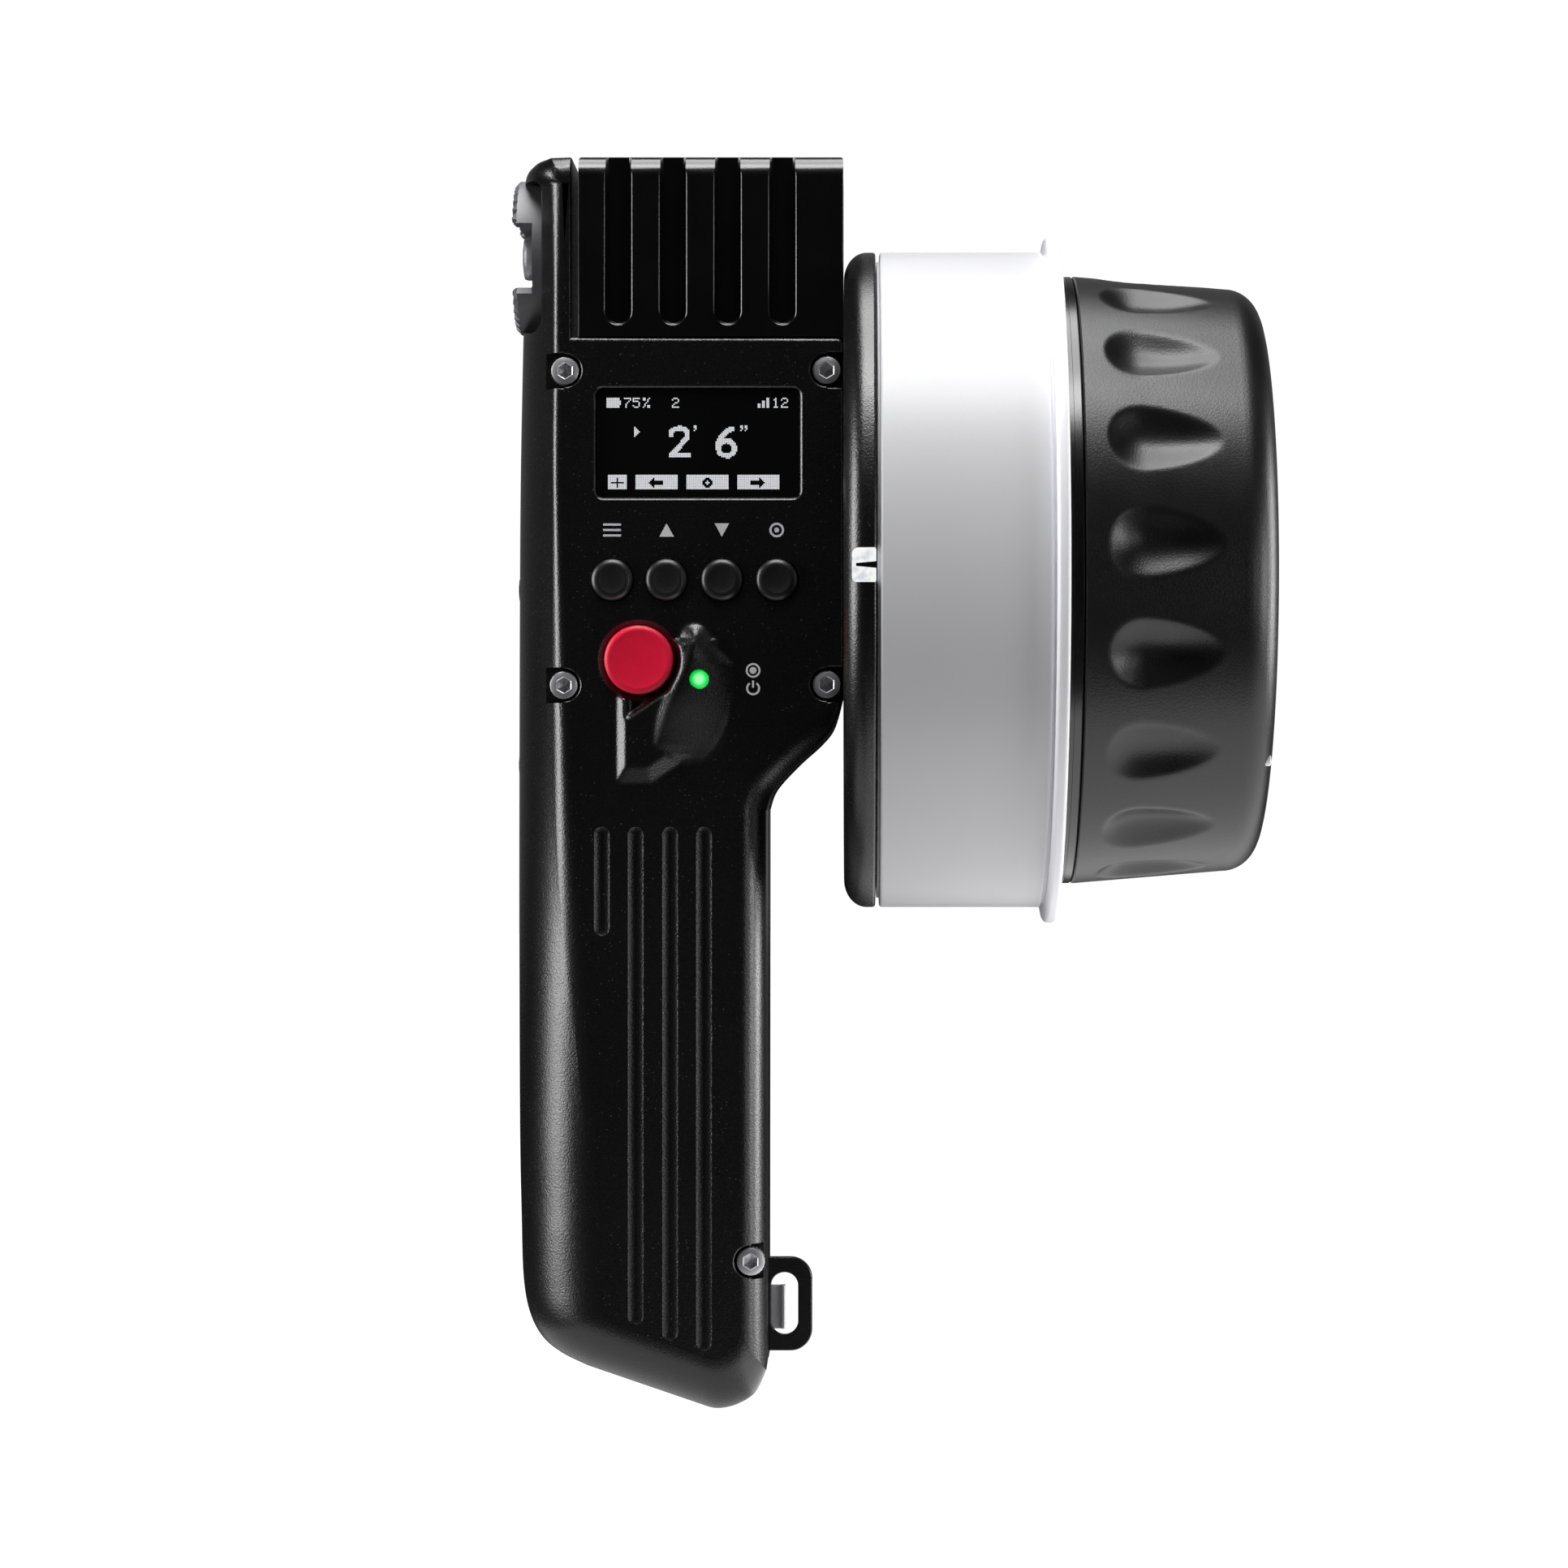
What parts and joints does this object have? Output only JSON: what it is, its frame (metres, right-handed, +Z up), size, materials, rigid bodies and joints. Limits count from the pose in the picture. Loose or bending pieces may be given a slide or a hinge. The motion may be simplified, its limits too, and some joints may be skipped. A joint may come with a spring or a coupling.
{
  "type": "wireless lens controller",
  "caption": "Handheld wireless lens controller: grip with display and buttons, ribbed battery lid, and a large focus knob with a white marking ring on its side.",
  "frame": {"origin": "middle of the grip, at the centre of its width, thickness and held length", "axes": "+X to the knob's side, -Y out of the display, +Z up along the grip"},
  "size_m": [0.1187, 0.11, 0.1981],
  "materials": {
    "powder_coat": "fine speckled powder coat, satin",
    "black_plastic": "smooth satin black",
    "button_black": "satin black",
    "button_red": "satin crimson",
    "soft_rubber": "fine leather-like grain",
    "display_glass": "glossy black window",
    "status_green": "clear green, lit",
    "window_white": "clear white",
    "ring_white": "satin white that lets some light through",
    "board_green": "printed board",
    "switch_black": "satin",
    "rosette_metal": "satin, fine teeth",
    "screw_steel": "polished, knurled heads",
    "black_steel": "black, satin",
    "bare_steel": "bright"
  },
  "bodies": {
    "handset": {"front_shell": "powder_coat", "rear_shell": "powder_coat", "knob_base": "powder_coat", "display_module": "black_plastic", "antenna": "black_plastic", "battery_tray": "black_plastic", "battery_contacts": "black_plastic", "battery_pack": "black_plastic", "shell_seal": "soft_rubber", "display_window": "display_glass", "status_light_pipe": "status_green", "index_window": "window_white", "main_board": "board_green", "radio_board": "board_green", "index_light_board": "board_green", "encoder_board": "board_green", "menu_switch": "switch_black", "up_switch": "switch_black", "down_switch": "switch_black", "set_switch": "switch_black", "record_switch": "switch_black", "rosette": "rosette_metal", "shell_screw_1": "screw_steel", "shell_screw_2": "screw_steel", "shell_screw_3": "screw_steel", "shell_screw_4": "screw_steel", "shell_screw_5": "screw_steel", "rosette_screw": "screw_steel", "base_screw_1": "screw_steel", "base_screw_2": "screw_steel", "base_screw_3": "screw_steel", "side_screw_1": "black_steel", "side_screw_2": "black_steel", "lanyard_loop": "black_steel", "strap_clip": "bare_steel", "radio_shield": "bare_steel", "spindle": "bare_steel", "spindle_nut": "bare_steel"},
    "focus_knob": {"knob_core": "black_plastic", "grip_sleeve": "soft_rubber", "knob_end_cover": "black_plastic", "marker_pin": "window_white", "inner_bearing": "bare_steel", "outer_bearing": "bare_steel", "encoder_disc": "rosette_metal", "ring_seal": "soft_rubber"},
    "marking_ring": {"marking_ring": "ring_white"},
    "battery_lid": {"battery_lid": "black_plastic"},
    "menu_button": {"menu_button": "button_black"},
    "up_button": {"up_button": "button_black"},
    "down_button": {"down_button": "button_black"},
    "set_button": {"set_button": "button_black"},
    "record_button": {"record_button": "button_red"}
  },
  "joints": [
    {"name": "focus_turn", "type": "hinge", "parent": "handset", "child": "focus_knob", "pos_m": [0.05, 0, 0.0829], "axis": [1, 0, 0], "range_deg": [-150, 150]},
    {"name": "ring_slide", "type": "slide", "parent": "focus_knob", "child": "marking_ring", "axis": [1, 0, 0], "range_m": [0, 0.065]},
    {"name": "lid_lift", "type": "slide", "parent": "handset", "child": "battery_lid", "axis": [0, 0, 1], "range_m": [0, 0.03]},
    {"name": "menu_press", "type": "slide", "parent": "handset", "child": "menu_button", "axis": [0, 1, 0], "range_m": [0, 0.0008], "stiffness_N_per_m": 1500},
    {"name": "up_press", "type": "slide", "parent": "handset", "child": "up_button", "axis": [0, 1, 0], "range_m": [0, 0.0008], "stiffness_N_per_m": 1500},
    {"name": "down_press", "type": "slide", "parent": "handset", "child": "down_button", "axis": [0, 1, 0], "range_m": [0, 0.0008], "stiffness_N_per_m": 1500},
    {"name": "set_press", "type": "slide", "parent": "handset", "child": "set_button", "axis": [0, 1, 0], "range_m": [0, 0.0008], "stiffness_N_per_m": 1500},
    {"name": "record_press", "type": "slide", "parent": "handset", "child": "record_button", "axis": [0, 1, 0], "range_m": [0, 0.001], "stiffness_N_per_m": 1500}
  ]
}
